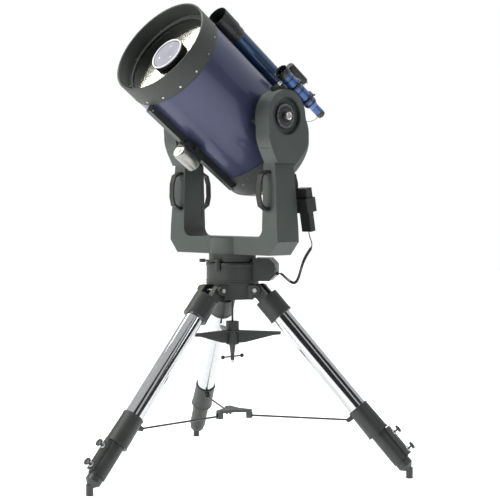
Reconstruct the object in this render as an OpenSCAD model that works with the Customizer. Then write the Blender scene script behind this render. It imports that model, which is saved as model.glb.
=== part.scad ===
// Large Schmidt-Cassegrain telescope on a two-arm fork, standing on a three-leg field tripod.
// +Z is up, the tube points to -Y and upwards, the altitude axis runs along X.

/* [Optical tube] */
// Outside radius of the main tube
tube_r = 229; // [215:1:240]
// Elevation of the tube above the horizontal, in degrees
elevation = 34.4; // [10:0.1:60]
// Distance from the altitude axis to the front rim
front_reach = 510; // [480:1:540]
// Length of the black front cell
front_len = 104; // [90:1:120]
// Distance from the altitude axis to the rear face
rear_reach = 300; // [290:1:320]

/* [Fork] */
// Height of the altitude axis above the ground
alt_z = 1546; // [1540:1:1560]
// Clear width between the fork arms
fork_gap = 504; // [496:1:520]
// Overall width of the fork at its shoulders
fork_w = 690; // [670:1:710]
// Depth of the fork base, front to back
fork_d = 130; // [120:1:140]
// Underside of the fork crossbar
bar_z = 955; // [950:1:960]
// Radius of the arm heads round the altitude axis
head_r = 112; // [100:1:118]

/* [Drive base] */
// Radius of the drive base and of the tripod head
drum_r = 115; // [110:1:118]
// Reach of the control panel box from the azimuth axis
panel_reach = 200; // [190:1:215]
// Direction of the control panel box, in degrees from +X
panel_angle = 35; // [30:1:40]

/* [Tripod] */
// Angle of the legs from the vertical, in degrees
splay = 41.2; // [40:0.1:42]
// Radius of the leg tubes
leg_r = 41; // [38:0.5:42]
// Distance along a leg from its hinge to the lower end of its casting
leg_len = 965; // [955:1:970]

/* [Hidden] */

axis_y = 197.8;             // places the middle of the whole object over the origin
fit = 0.05;               // radial clearance of a turning shaft
gap = 0.4;                // clearance between parts that pass each other
eps = 0.01;

leg_angles = [270, 30, 150];
pivot_r = 124;            // leg hinges, from the azimuth axis
pivot_z = 798;
head_top = 832;           // seam between the tripod head and the drive base
head_low = 757;
drum_top = 917;
ear_y = 57;               // inner face of the hinge ears
ear_t = 14;
bolt_r = 6;
socket_r = 54;
socket_z0 = 47;
socket_z1 = 152;
collar_z0 = 668;
collar_z1 = 810;
lower_r = 38;             // lower casting that guides the extension
ext_r = 30;
knob_z = [850, 941];
bar_out = 54;             // face of the lock bar, from the leg axis
lug_x = 65;               // brace pivot on the leg
lug_z = 687;
foot_z = 1015;            // where the foot pad stands under the leg axis
hub_rad = 80;             // brace pivots on the brace hub
hub_z = pivot_z - lug_x * sin(splay) - lug_z * cos(splay);
strut_len = pivot_r - lug_x * cos(splay) + lug_z * sin(splay) - hub_rad;
spreader_r = 221;
spreader_z = 609;
rod_r = 5;

half_gap = fork_gap / 2;
half_w = fork_w / 2;
half_d = fork_d / 2;
arm_seam_z = 1080;
neck_z = 1347;
neck_x = 320;             // outer face of an arm at its neck
neck_d = 56;              // half depth of an arm at its neck
shaft_r = 25;             // azimuth shaft
flange_r = 104;
trunnion_r = 30;
head_x0 = 258;            // inner and outer faces of the arm heads
head_x1 = 338;
bulge_r = 120;            // lower lobe of an arm head
bulge_y = 13;
bulge_z = -74;
dish_r = 78;
handle_z = 1232;
arm_slope = atan((half_d - neck_d) / (neck_z - arm_seam_z));
function arm_y(z) = half_d - (half_d - neck_d) * (z - arm_seam_z) / (neck_z - arm_seam_z);

wall = 3;
cell_r = tube_r + 2;
cell_back = front_reach - front_len;
corr_z = 436;             // front face of the corrector plate, along the tube
corr_r = 205;
sec_r = 77;
sec_z = 462;              // front of the secondary housing
mirror_z = -170;          // front edge of the primary mirror
mirror_r = 206;
rear_z = -255;            // where the rear casting starts to narrow
skirt = 135;              // straight length of the rear casting
guide_x = 15;
guide_y = 303;
guide_z = -16;            // shifts the guide scope along the tube
motor_x = 21;             // focus motor barrel, from the guide scope axis
motor_y = 89;
guide_r = 43;
shield_r = 50;
finder_x = 170;
finder_y = 247;
finder_r = 29;
finder_a = atan2(finder_x, finder_y);
finder_d = norm([finder_x, finder_y]);
rail_w = 14;              // half width of the balance rail
rail_y = -260;            // outer face of the balance rail
knob_y = -250;            // clamp knob of the balance weight

module at_axis() translate([0, axis_y, 0]) children();
module on_tube() at_axis() translate([0, 0, alt_z]) rotate([90 - elevation, 0, 0]) children();
module leg_frame(n) {
    at_axis() rotate([0, 0, leg_angles[n]]) translate([pivot_r, 0, pivot_z])
        rotate([0, 180 - splay, 0]) children();
}
module tube_shape(ro, ri, h, z = 0) {
    translate([0, 0, z]) difference() {
        cylinder(r = ro, h = h, $fn = 96);
        translate([0, 0, -1]) cylinder(r = ri, h = h + 2, $fn = 96);
    }
}
module rod(r, h, z = 0) translate([0, 0, z]) cylinder(r = r, h = h, $fn = 48);
module along_x(x) translate([x, 0, 0]) rotate([0, 90, 0]) children();
module along_y(y) translate([0, y, 0]) rotate([-90, 0, 0]) children();

// ---- drive base and tripod head ----
module hinge_ear(side) {
    translate([pivot_r, side * (ear_y + ear_t / 2), pivot_z]) rotate([90, 0, 0])
        difference() {
            union() {
                cylinder(r = 21, h = ear_t, center = true, $fn = 64);
                translate([-21, 0, 0]) cube([42, 42, ear_t], center = true);
                translate([-26, -20, 0]) cube([30, 42, ear_t], center = true);
            }
            cylinder(r = bolt_r, h = ear_t + 2, center = true, $fn = 48);
        }
}
module hinge_pocket() {
    translate([pivot_r, 0, pivot_z]) {
        rotate([90, 0, 0]) cylinder(r = 26, h = 2 * ear_y, center = true, $fn = 64);
        translate([0, 0, -30]) cube([52, 2 * ear_y, 60], center = true);
    }
}
module tripod_head() color([0.2, 0.22, 0.21]) at_axis() difference() {
    union() {
        difference() {
            rod(drum_r, head_top - head_low, head_low);
            rod(88, head_top - head_low - 16, head_low - 1);
            for (a = leg_angles) rotate([0, 0, a]) hinge_pocket();
        }
        rod(18, 50, head_top - 50 - 8);
        for (a = leg_angles) rotate([0, 0, a]) {
            hinge_ear(1);
            hinge_ear(-1);
        }
    }
    rod(rod_r + fit, 70, head_top - 72);
}
module leg_hinge_bolts() color([0.7, 0.7, 0.72]) at_axis()
    for (a = leg_angles) rotate([0, 0, a]) translate([pivot_r, 0, pivot_z]) {
        along_y(-ear_y - ear_t) rod(bolt_r, 2 * (ear_y + ear_t));
        along_y(ear_y + ear_t) cylinder(r = 10, h = 8, $fn = 6);
        along_y(-ear_y - ear_t - 8) cylinder(r = 10, h = 8, $fn = 6);
    }
module drive_base() color([0.22, 0.24, 0.23]) at_axis() difference() {
    union() {
        rod(drum_r, drum_top - head_top, head_top);
        rotate([0, 0, 285]) translate([120, 0, 0]) rod(12, 30, drum_top - 28);
    }
    difference() {
        rod(106, drum_top - head_top - 20, head_top + 10);
        rotate([0, 0, 285]) translate([120, 0, 0]) rod(13, 40, drum_top - 34);
    }
    rod(shaft_r + fit, 30, head_top - 1);
    rod(60, 20, drum_top - 15);
    rotate([0, 0, 285]) translate([120, 0, 0]) rod(4 + fit, 30, drum_top - 18);
}
module azimuth_drive() color([0.6, 0.6, 0.62]) at_axis() {
    tube_shape(60, 40, 12, drum_top - 12);
    translate([-30, 40, head_top + 10]) cube([60, 34, 18]);
    translate([50, 57, head_top + 19]) along_x(-20) rod(8, 30);
}
module panel_outline() polygon([
    [90, head_top + 5], [panel_reach - 26, head_top + 5], [panel_reach, head_top + 31],
    [panel_reach, head_top + 79], [panel_reach - 26, head_top + 105], [90, head_top + 105]]);
module panel_block(w, inset) rotate([90, 0, 0])
    linear_extrude(w, center = true) offset(delta = -inset) panel_outline();
module control_panel() color([0.18, 0.19, 0.19]) at_axis() {
    rotate([0, 0, panel_angle]) difference() {
        rotate([90, 0, 0]) linear_extrude(110, center = true) panel_outline();
        translate([0, 0, head_top]) rod(drum_r, 110, -1);
        translate([120, -49, head_top + 11]) cube([60, 98, 88]);
        translate([panel_reach - 12, -37.5, 882]) cube([20, 25, 14]);
        translate([panel_reach - 4, -25, 0]) rod(1.5 + fit, 19, 879.5);
    }
    rotate([0, 0, panel_angle]) translate([0, 0, 868]) along_x(panel_reach - 4) rod(8.5, 12);
}
module power_switch() color([0.05, 0.05, 0.05]) at_axis() rotate([0, 0, panel_angle])
    translate([panel_reach + 0.5, -25, 889]) {
        translate([-5, -10, -5.5]) cube([7, 20, 11]);
        translate([-8, -3, -4]) cube([4, 6, 8]);
        translate([-4.5, 0, 0]) rod(1.5, 17, -8.5);
    }
module azimuth_lock_lever() color([0.25, 0.27, 0.26]) at_axis() rotate([0, 0, 285])
    translate([120, 0, drum_top + 3]) {
        rod(11, 14);
        rod(4, 32, -17);
        translate([-5, -78, 3]) cube([12, 78, 8]);
        translate([1, -80, 0]) rod(13, 14);
    }

// ---- tripod legs ----
module leg_castings(n) color([0.2, 0.22, 0.21]) leg_frame(n) {
    difference() {
        union() {
            for (s = [-1, 1]) translate([0, s * 41, 0]) rotate([90, 0, 0])
                linear_extrude(26, center = true) {
                    circle(r = 24, $fn = 64);
                    translate([-24, 0]) square([48, 50]);
                }
            rod(socket_r, socket_z1 - socket_z0, socket_z0);
        }
        rotate([90, 0, 0]) cylinder(r = bolt_r + fit, h = 120, center = true, $fn = 48);
        rod(leg_r, 120, socket_z0 + 13);
    }
    difference() {
        union() {
            translate([0, 0, collar_z0]) cylinder(r1 = 46, r2 = 49, h = collar_z1 - collar_z0, $fn = 96);
            rod(lower_r, leg_len - collar_z1 + 1, collar_z1 - 1);
            translate([-bar_out, -13, collar_z1 + 4]) cube([30, 26, leg_len - collar_z1 - 8]);
            for (s = [-1, 1]) translate([40, s * 7.5, lug_z - 10]) rotate([90, 0, 0])
                linear_extrude(5, center = true) {
                    translate([lug_x - 40, 10]) circle(r = 10, $fn = 48);
                    square([lug_x - 40, 20]);
                }
            translate([lug_x, 0, lug_z]) rotate([90, 0, 0]) cylinder(r = 3, h = 18, center = true, $fn = 48);
        }
        rod(leg_r, 132, collar_z0 - 1);
        rod(ext_r + gap, leg_len, collar_z0);
        for (z = knob_z) translate([0, 0, z]) along_x(-70) rod(4 + fit, 50);
    }
}
module leg_tube(n) color([0.8, 0.8, 0.82]) leg_frame(n)
    tube_shape(leg_r, leg_r - 3, 738, socket_z0 + 13);
module leg_extension(n) color([0.12, 0.13, 0.13]) {
    leg_frame(n) {
        difference() {
            rod(ext_r, leg_len + 3 - 480, 480);
            rod(ext_r - 3, leg_len - 480, 470);
        }
        translate([0, 0, leg_len + 2]) cylinder(r1 = 34, r2 = 34, h = 24, $fn = 64);
        translate([0, 0, leg_len + 26]) cylinder(r1 = 34, r2 = 15, h = 20, $fn = 64);
    }
    at_axis() rotate([0, 0, leg_angles[n]])
        translate([pivot_r + foot_z * sin(splay), 0, 0]) rod(15, 46);
}
module leg_knob(n, z) color([0.15, 0.16, 0.16]) leg_frame(n) translate([0, 0, z]) {
    along_x(-76) rod(4, 38);
    along_x(-83) rod(15, 9);
}
module leg_1_castings() leg_castings(0);
module leg_2_castings() leg_castings(1);
module leg_3_castings() leg_castings(2);
module leg_1_tube() leg_tube(0);
module leg_2_tube() leg_tube(1);
module leg_3_tube() leg_tube(2);
module leg_1_extension() leg_extension(0);
module leg_2_extension() leg_extension(1);
module leg_3_extension() leg_extension(2);
module leg_1_knob_upper() leg_knob(0, knob_z[0]);
module leg_2_knob_upper() leg_knob(1, knob_z[0]);
module leg_3_knob_upper() leg_knob(2, knob_z[0]);
module leg_1_knob_lower() leg_knob(0, knob_z[1]);
module leg_2_knob_lower() leg_knob(1, knob_z[1]);
module leg_3_knob_lower() leg_knob(2, knob_z[1]);

// ---- spreader and lower braces ----
module spreader() color([0.16, 0.18, 0.17]) at_axis() difference() {
    union() {
        rod(29, 103, 552);
        for (a = leg_angles) rotate([0, 0, a]) {
            rotate([90, 0, 0]) linear_extrude(9, center = true) polygon([
                [10, spreader_z], [spreader_r, spreader_z], [spreader_r, spreader_z - 8],
                [spreader_r - 30, spreader_z - 11], [60, 562], [10, 556]]);
            translate([0, 0, spreader_z - 1]) linear_extrude(7) polygon([
                [0, -26], [60, -17], [spreader_r, -7], [spreader_r, 7], [60, 17], [0, 26]]);
        }
    }
    rod(rod_r + fit, 120, 540);
}
module tension_rod() color([0.2, 0.2, 0.2]) at_axis() {
    difference() {
        union() {
            rod(rod_r, 350, 470);
            translate([0, 0, 508]) cylinder(r1 = 9, r2 = 15, h = 43, $fn = 48);
            rod(9, 38, 470);
        }
        translate([0, 0, 497]) rotate([90, 0, 0]) cylinder(r = 3.5, h = 60, center = true, $fn = 32);
    }
    translate([0, 0, 497]) {
        rotate([90, 0, 0]) cylinder(r = 3.5, h = 104, center = true, $fn = 32);
        for (s = [-1, 1]) translate([0, s * 58, 0]) difference() {
            sphere(r = 9, $fn = 48);
            translate([0, -s * 12, 0]) cube([20, 12, 20], center = true);
        }
    }
}
module brace_hub() color([0.35, 0.37, 0.36]) at_axis() {
    translate([0, 0, hub_z + 14]) linear_extrude(12)
        for (a = leg_angles) rotate([0, 0, a]) polygon([[0, -40], [70, -17], [88, -12],
            [88, 12], [70, 17], [0, 40]]);
    for (a = leg_angles) rotate([0, 0, a]) for (s = [-1, 1])
        translate([66, s * 8.5 - 3, hub_z - 12]) cube([24, 6, 26]);
}
module brace(n) color([0.12, 0.13, 0.13]) at_axis() rotate([0, 0, leg_angles[n]])
    translate([hub_rad, 0, hub_z]) difference() {
        union() {
            along_x(0) rod(4.4, strut_len);
            for (x = [0, strut_len]) translate([x, 0, 0]) rotate([90, 0, 0])
                cylinder(r = 8, h = 9, center = true, $fn = 48);
        }
        for (x = [0, strut_len]) translate([x, 0, 0]) rotate([90, 0, 0])
            cylinder(r = 3 + fit, h = 12, center = true, $fn = 48);
    }
module brace_1() brace(0);
module brace_2() brace(1);
module brace_3() brace(2);

// ---- fork ----
module fork_outline() difference() {
    polygon([[-half_w + 49, bar_z], [half_w - 49, bar_z], [half_w, bar_z + 58],
        [half_w - 4, arm_seam_z], [-half_w + 4, arm_seam_z], [-half_w, bar_z + 58]]);
    translate([-half_gap, bar_z + 115]) square([fork_gap, 40]);
    translate([-half_gap + 40, bar_z + 75]) square([fork_gap - 80, 60]);
    for (s = [-1, 1]) translate([s * (half_gap - 40), bar_z + 115]) circle(r = 40, $fn = 64);
}
module fork_base() color([0.38, 0.41, 0.39]) at_axis() difference() {
    union() {
        rotate([90, 0, 0]) linear_extrude(fork_d, center = true) fork_outline();
        rod(100, 71, bar_z);
    }
    rod(shaft_r, 50, bar_z - 1);
}
module azimuth_shaft() color([0.3, 0.31, 0.31]) at_axis() {
    rod(shaft_r, bar_z + 49 - 836, 836);
    tube_shape(88, shaft_r, 12, 866);
    difference() {
        rod(flange_r, bar_z - drum_top - 4, drum_top + 4);
        rod(shaft_r, 60, drum_top);
    }
}
module arm_side(s) color([0.38, 0.41, 0.39]) at_axis() mirror([s < 0 ? 1 : 0, 0, 0]) {
    difference() {
        intersection() {
            rotate([90, 0, 0]) linear_extrude(fork_d, center = true) polygon([
                [half_gap, arm_seam_z], [half_w - 4, arm_seam_z], [330, 1236], [neck_x, neck_z],
                [half_gap, neck_z]]);
            translate([half_gap - 1, 0, 0]) rotate([90, 0, 90]) linear_extrude(120) polygon([
                [-half_d, arm_seam_z], [half_d, arm_seam_z], [neck_d, neck_z], [-neck_d, neck_z]]);
        }
        translate([half_gap - 1, -46, arm_seam_z + 18]) cube([48, 92, neck_z - arm_seam_z - 50]);
    }
    translate([half_gap + 1, -46, arm_seam_z + 18]) cube([3, 92, neck_z - arm_seam_z - 50]);
}
module left_arm() arm_side(-1);
module right_arm() arm_side(1);
module head_outline() {
    circle(r = head_r, $fn = 128);
    translate([bulge_y, bulge_z]) circle(r = bulge_r, $fn = 128);
    polygon([[-head_r, 2], [-bulge_r + bulge_y + 0.6, bulge_z], [-90, -140], [-neck_d, neck_z - alt_z],
        [neck_d, neck_z - alt_z], [108, -147], [bulge_r + bulge_y - 0.4, bulge_z], [head_r, 2]]);
}
module arm_head(s) color([0.36, 0.39, 0.37]) at_axis() mirror([s < 0 ? 1 : 0, 0, 0])
    translate([0, 0, alt_z]) difference() {
        translate([head_x0, 0, 0]) rotate([90, 0, 90]) linear_extrude(head_x1 - head_x0) intersection() {
            head_outline();
            translate([-200, neck_z - alt_z]) square([400, 400]);
        }
        along_x(head_x0 - 1) rod(trunnion_r + fit, 90);
        along_x(head_x1 - 16) rod(dish_r, 20);
    }
module left_head() arm_head(-1);
module right_head() {
    arm_head(1);
    color([0.05, 0.05, 0.05]) at_axis() translate([0, 0, alt_z]) difference() {
        translate([281, -40, 98]) cube([16, 30, 27]);
        along_x(270) rod(head_r, 40);
    }
}
module handle() {
    for (z = [-78, 78]) translate([-16, 0, z - 7]) cube([32, 14, 14]);
    translate([-13, 0, 0]) rotate([90, 0, 90]) linear_extrude(26)
        polygon([[14, 85], [44, 68], [55, 30], [55, -30], [44, -68], [14, -85], [14, -73],
            [38, -59], [48, -26], [48, 26], [38, 59], [14, 73]]);
}
module carry_handles() color([0.1, 0.1, 0.1]) at_axis()
    for (s = [-1, 1]) for (f = [-1, 1])
        mirror([0, f < 0 ? 1 : 0, 0]) translate([s * 280, arm_y(handle_z), handle_z])
            rotate([arm_slope, 0, 0]) handle();
module altitude_lock_knob() color([0.8, 0.8, 0.8]) at_axis() translate([0, 0, alt_z]) {
    along_x(300) rod(5, 34);
    along_x(334) rod(17, 18);
}

// ---- handset ----
module handset_frame() at_axis() translate([336, 122, 1130]) rotate([11, 0, 0]) children();
module handset_holder() color([0.1, 0.1, 0.1]) {
    handset_frame() difference() {
        translate([-37, -29, 10]) cube([74, 56, 62]);
        translate([-32.5, -22.5, 14]) cube([65, 45, 80]);
        translate([-26, 10, 0]) cube([52, 60, 40]);
        translate([-27.5, -14.5, 0]) cube([55, 29, 40]);
    }
    difference() {
        at_axis() translate([300, 50, 1150]) cube([26, 60, 46]);
        at_axis() translate([290, half_d, arm_seam_z]) rotate([arm_slope, 0, 0])
            translate([0, -70, -10]) cube([60, 70, 200]);
        handset_frame() translate([-80, -29, -60]) cube([160, 100, 260]);
    }
}
module handset() color([0.13, 0.13, 0.14]) handset_frame() {
    translate([-32, -18, 14.5]) cube([64, 36, 100]);
    translate([-27, -14, -74]) cube([54, 28, 88.5]);
    for (i = [0:2]) for (k = [0:5]) translate([-20 + 15 * i, 14, -66 + 13 * k]) cube([10, 2.5, 8]);
}
cord_start = (panel_reach + 8.1) * [cos(panel_angle), sin(panel_angle), 0] + [0, 0, 868];
cord_route = [cord_start, cord_start + 10 * [cos(panel_angle), sin(panel_angle), 0],
    [190, 132, 858], [204, 138, 845], [220, 144, 833], [238, 147, 829],
    [252, 149, 838], [264, 149, 858], [275, 149, 885], [287, 148, 912], [302, 147, 938],
    [320, 146, 961], [337, 145, 980], [346, 144, 993]];
hand_end = [336, 122 + 74 * sin(11), 1130 - 74 * cos(11)];
tail_route = [[346, 144, 993], [347, 143.5, 1004], [342, 142.5, 1020],
    hand_end + 20.1 * [0, sin(11), -cos(11)], hand_end + 0.1 * [0, sin(11), -cos(11)]];
function unit(v) = v / norm(v);
function mid_dir(p, i) = unit(p[min(i + 1, len(p) - 1)] - p[max(i - 1, 0)]);
function side_dir(d) = unit(cross(d, [0.3, -1, 0.1]));
function ring(p, i, r, n) = let (d = mid_dir(p, i), s = side_dir(d), t = cross(d, s))
    [for (k = [0:n - 1]) p[i] + r * (cos(360 * k / n) * s + sin(360 * k / n) * t)];
module sweep(p, r, n) polyhedron(
    points = [for (i = [0:len(p) - 1]) each ring(p, i, r, n)],
    faces = concat([[for (k = [0:n - 1]) k]],
        [for (i = [0:len(p) - 2]) for (k = [0:n - 1])
            [i * n + (k + 1) % n, i * n + k, (i + 1) * n + k, (i + 1) * n + (k + 1) % n]],
        [[for (k = [0:n - 1]) len(p) * n - 1 - k]]));
module handset_cord() color([0.05, 0.05, 0.05]) at_axis() {
    sweep(cord_route, 7, 10);
    sweep(tail_route, 2, 8);
}

// ---- optical tube ----
module main_tube() color([0.27, 0.28, 0.42]) on_tube()
    tube_shape(tube_r, tube_r - wall, cell_back - rear_z - skirt, rear_z + skirt);
module front_cell() color([0.13, 0.14, 0.13]) on_tube() {
    difference() {
        union() {
            rod(cell_r, front_len, cell_back);
            rod(tube_r - wall, 20, cell_back - 20);
        }
        rod(tube_r - 8, 300, corr_z + 5);
        rod(corr_r - 6, 300, cell_back - 30);
        rod(corr_r + 1, 100, corr_z);
        for (a = [0:22.5:337.5]) rotate([0, 0, a]) translate([0, 0, 428]) along_x(tube_r - 3) rod(3, 10);
    }
    difference() {
        tube_shape(tube_r - 8, corr_r - 5, 5, corr_z + 5);
        for (a = [0:45:315]) rotate([0, 0, a]) translate([214, 0, corr_z]) rod(3, 20);
    }
}
module cell_screws() color([0.75, 0.75, 0.75]) on_tube() {
    for (a = [0:22.5:337.5]) rotate([0, 0, a]) translate([0, 0, 428]) {
        along_x(tube_r - 3) rod(3, 5.5);
        along_x(cell_r + 0.5) rod(4.5, 2);
    }
    for (a = [0:45:315]) rotate([0, 0, a]) translate([214, 0, corr_z]) {
        rod(3, 5, 5);
        rod(5, 2, 10);
    }
    for (a = [84:30:384]) rotate([0, 0, a]) translate([0, 0, rear_z + 107]) along_x(cell_r) rod(4.5, 2);
    for (a = [12:90:282]) rotate([0, 0, a]) translate([0, 0, rear_z + 77]) along_x(cell_r) rod(4.5, 2);
    for (z = [-164, 396]) for (s = [0, 1]) mirror([s, 0, 0]) translate([0, -252, z]) along_x(rail_w) rod(4, 6);
}
module corrector_plate() color([0.8, 0.9, 0.9, 0.3]) on_tube()
    tube_shape(corr_r, 60, 5, corr_z);
module secondary_housing() color([0.8, 0.8, 0.82]) on_tube() difference() {
    union() {
        rod(sec_r, sec_z - corr_z - 5, corr_z + 5);
        rod(60 - gap / 2, 12, corr_z - 6);
        rod(sec_r, 30, corr_z - 30);
    }
    rod(65, 20, sec_z - 7);
    rod(56, 22, corr_z - 31);
}
module secondary_mirror() color([0.85, 0.87, 0.9]) on_tube() difference() {
    rod(55.6, 14, corr_z - 24);
    translate([0, 0, corr_z - 24]) difference() {
        translate([0, 0, -5]) cylinder(r = 60, h = 8, $fn = 64);
        translate([0, 0, 597]) sphere(r = 600, $fn = 200);
    }
}
module primary_mirror() color([0.75, 0.78, 0.8]) on_tube() difference() {
    rod(mirror_r, 32, mirror_z - 32);
    translate([0, 0, mirror_z - 12 + 1700]) sphere(r = 1700, $fn = 300);
    rod(46, 60, mirror_z - 50);
}
module baffle_tube() color([0.06, 0.06, 0.06]) on_tube() difference() {
    union() {
        rod(45, 240, rear_z + 14);
        translate([0, 0, -1]) cylinder(r1 = 45, r2 = 32, h = 180, $fn = 96);
    }
    rod(27, 600, rear_z);
}
module rear_cell() color([0.14, 0.15, 0.14]) on_tube() {
    difference() {
        union() {
            rod(cell_r, skirt, rear_z);
            rod(tube_r - wall, 20, rear_z + skirt);
            translate([0, 0, -rear_reach])
                cylinder(r1 = 204, r2 = cell_r, h = rear_reach + rear_z, $fn = 128);
            rod(50, 20, -rear_reach - 20);
        }
        difference() {
            rod(tube_r - 9, 300, rear_z);
            rod(52, 14, rear_z);
        }
        rod(27, 200, -rear_reach - 30);
        translate([110, -70, -rear_reach - 10]) rod(5 + fit, 80);
    }
    difference() {
        rod(42, 30, -rear_reach - 50);
        rod(25.4, 60, -rear_reach - 60);
    }
}
module focus_knob() color([0.1, 0.1, 0.1]) on_tube() translate([110, -70, 0]) {
    rod(5, 40, -rear_reach - 14);
    rod(18, 26, -rear_reach - 40);
}
module trunnions() color([0.4, 0.42, 0.4]) on_tube() for (s = [0, 1]) mirror([s, 0, 0]) difference() {
    union() {
        translate([tube_r - 30, -70, -70]) cube([50, 140, 140]);
        along_x(tube_r) rod(trunnion_r, head_x1 - 12 - tube_r);
        along_x(head_x1 - 14) rod(56, 6);
    }
    translate([0, 0, -100]) rod(tube_r, 200);
    if (s == 0) along_x(290) rod(5 + fit, 60);
}
module rails() color([0.12, 0.12, 0.13]) on_tube() {
    difference() {
        translate([-rail_w, rail_y, -172]) cube([2 * rail_w, 40, cell_back + 170]);
        rod(tube_r, 900, -400);
        rod(cell_r, 200, rear_z + skirt - 200);
    }
    difference() {
        translate([guide_x - 22, tube_r - 8, -28]) cube([44, 24, 362]);
        rod(tube_r, 900, -400);
    }
    difference() {
        rotate([0, 0, -finder_a]) translate([-16, tube_r - 8, -200]) cube([32, 16, 140]);
        rod(tube_r, 900, -400);
        rod(cell_r, 200, rear_z + skirt - 200);
    }
}
module balance_weight() color([0.8, 0.8, 0.78]) on_tube() difference() {
    union() {
        translate([0, -295, 68]) rod(34, 108);
        translate([-24.5, -277, 66]) cube([49, 16.6, 112]);
        for (s = [-1, 1]) translate([s * 19.5 - 5, -277, 66]) cube([10, 34, 112]);
    }
    translate([0, knob_y, 122]) along_x(13) rod(4 + fit, 40);
}
module weight_knob() color([0.1, 0.1, 0.1]) on_tube() translate([0, knob_y, 122]) {
    along_x(14.7) rod(4, 22);
    along_x(30) rod(10, 12);
}
module guide_axis() translate([guide_x, guide_y, guide_z]) children();
module guide_tube() color([0.15, 0.3, 0.5]) on_tube() guide_axis()
    tube_shape(guide_r, guide_r - 2, 348, -98);
module guide_foot(z) translate([-16, -guide_y + tube_r + 16, z]) cube([32, 40, 20]);
module guide_fittings() color([0.1, 0.1, 0.1]) on_tube() guide_axis() {
    difference() {
        union() {
            rod(shield_r, 104, 250);
            rod(guide_r + 3, 36, 214);
            guide_foot(222);
        }
        rod(shield_r - 3, 104, 256);
        rod(guide_r - 4, 60, 224);
        rod(guide_r, 200, 50);
    }
    difference() {
        guide_foot(-8);
        rod(guide_r, 40, -18);
    }
    tube_shape(guide_r + 3, guide_r, 18, -96);
    difference() {
        union() {
            rod(guide_r + 3, 14, -112);
            rod(24, 40, -150);
            translate([-20, -20, -172]) cube([40, 44, 40]);
            translate([12, 20, -152]) rotate([-90, 0, 0]) rod(14, 56);
            translate([motor_x, motor_y, 0]) rod(21, 112, -222);
            translate([motor_x, motor_y, -110]) cylinder(r1 = 21, r2 = 16, h = 6, $fn = 64);
        }
        rod(guide_r, 40, -98);
        rod(14, 60, -136);
        translate([motor_x, motor_y, 0]) rod(3 + fit, 60, -223);
    }
}
module guide_focus_knob() color([0.75, 0.75, 0.75]) on_tube() guide_axis()
    translate([motor_x, motor_y, 0]) {
        rod(3, 48, -224);
        rod(15, 13, -236);
    }
module scope_lenses() color([0.8, 0.9, 0.95, 0.4]) on_tube() {
    guide_axis() rod(guide_r - 2, 8, 236);
    translate([finder_x, finder_y, -10]) rod(finder_r - 3, 6);
}
module finder_tube() color([0.2, 0.4, 0.7]) on_tube() translate([finder_x, finder_y, 0]) difference() {
    union() {
        rod(finder_r, 210, -220);
        translate([0, 0, -242]) cylinder(r1 = 20, r2 = finder_r, h = 22, $fn = 64);
        rod(20, 40, -282);
    }
    rod(finder_r - 3, 222, -214);
    rod(15, 100, -300);
}
module finder_ring(z) {
    difference() {
        rod(finder_r + 8, 12, z);
        rod(finder_r, 14, z - 1);
    }
    rotate([0, 0, -finder_a]) translate([-9, tube_r + 8 - finder_d, z])
        cube([18, finder_d - tube_r - 8 - 31, 12]);
}
module finder_fittings() color([0.08, 0.09, 0.08]) on_tube() translate([finder_x, finder_y, 0]) {
    difference() {
        union() {
            rod(finder_r + 4, 30, -18);
            rod(20, 26, -308);
        }
        rod(finder_r - 3, 40, -11);
        rod(finder_r, 8, -18);
        rod(15, 40, -300);
    }
    finder_ring(-96);
    finder_ring(-190);
}
wire_route = [[170, 226.5, -290], [170, 218, -292], [168, 206, -288], [165, 194, -280], [162, 184, -272],
    [160.5, 175, -262], [159.8, 170.5, -254]];
module finder_wire() color([0.1, 0.1, 0.1]) on_tube() sweep(wire_route, 1.2, 8);

tripod_head();
leg_hinge_bolts();
drive_base();
azimuth_drive();
control_panel();
power_switch();
azimuth_lock_lever();
leg_1_castings();
leg_1_tube();
leg_1_extension();
leg_1_knob_upper();
leg_1_knob_lower();
leg_2_castings();
leg_2_tube();
leg_2_extension();
leg_2_knob_upper();
leg_2_knob_lower();
leg_3_castings();
leg_3_tube();
leg_3_extension();
leg_3_knob_upper();
leg_3_knob_lower();
spreader();
tension_rod();
brace_hub();
brace_1();
brace_2();
brace_3();
fork_base();
azimuth_shaft();
left_arm();
right_arm();
left_head();
right_head();
carry_handles();
altitude_lock_knob();
handset_holder();
handset();
handset_cord();
main_tube();
front_cell();
cell_screws();
corrector_plate();
secondary_housing();
secondary_mirror();
primary_mirror();
baffle_tube();
rear_cell();
focus_knob();
trunnions();
rails();
balance_weight();
weight_knob();
guide_tube();
guide_fittings();
guide_focus_knob();
scope_lenses();
finder_tube();
finder_fittings();
finder_wire();
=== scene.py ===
import math
import bpy
import bmesh
from mathutils import Matrix, Vector


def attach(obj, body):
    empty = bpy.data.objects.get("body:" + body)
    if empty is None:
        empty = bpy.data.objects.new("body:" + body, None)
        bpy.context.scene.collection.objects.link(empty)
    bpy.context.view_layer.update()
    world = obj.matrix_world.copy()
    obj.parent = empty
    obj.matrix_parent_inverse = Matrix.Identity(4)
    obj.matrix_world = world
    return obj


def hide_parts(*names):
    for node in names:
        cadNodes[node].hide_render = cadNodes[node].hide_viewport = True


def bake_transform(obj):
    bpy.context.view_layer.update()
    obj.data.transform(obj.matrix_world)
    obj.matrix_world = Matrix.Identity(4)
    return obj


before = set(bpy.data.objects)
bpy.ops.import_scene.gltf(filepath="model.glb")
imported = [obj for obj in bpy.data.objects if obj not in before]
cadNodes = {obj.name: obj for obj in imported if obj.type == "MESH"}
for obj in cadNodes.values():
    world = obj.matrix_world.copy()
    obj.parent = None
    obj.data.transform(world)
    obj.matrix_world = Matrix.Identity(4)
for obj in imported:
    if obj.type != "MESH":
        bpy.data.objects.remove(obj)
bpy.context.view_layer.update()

axisY = 0.1978  # azimuth axis
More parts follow.
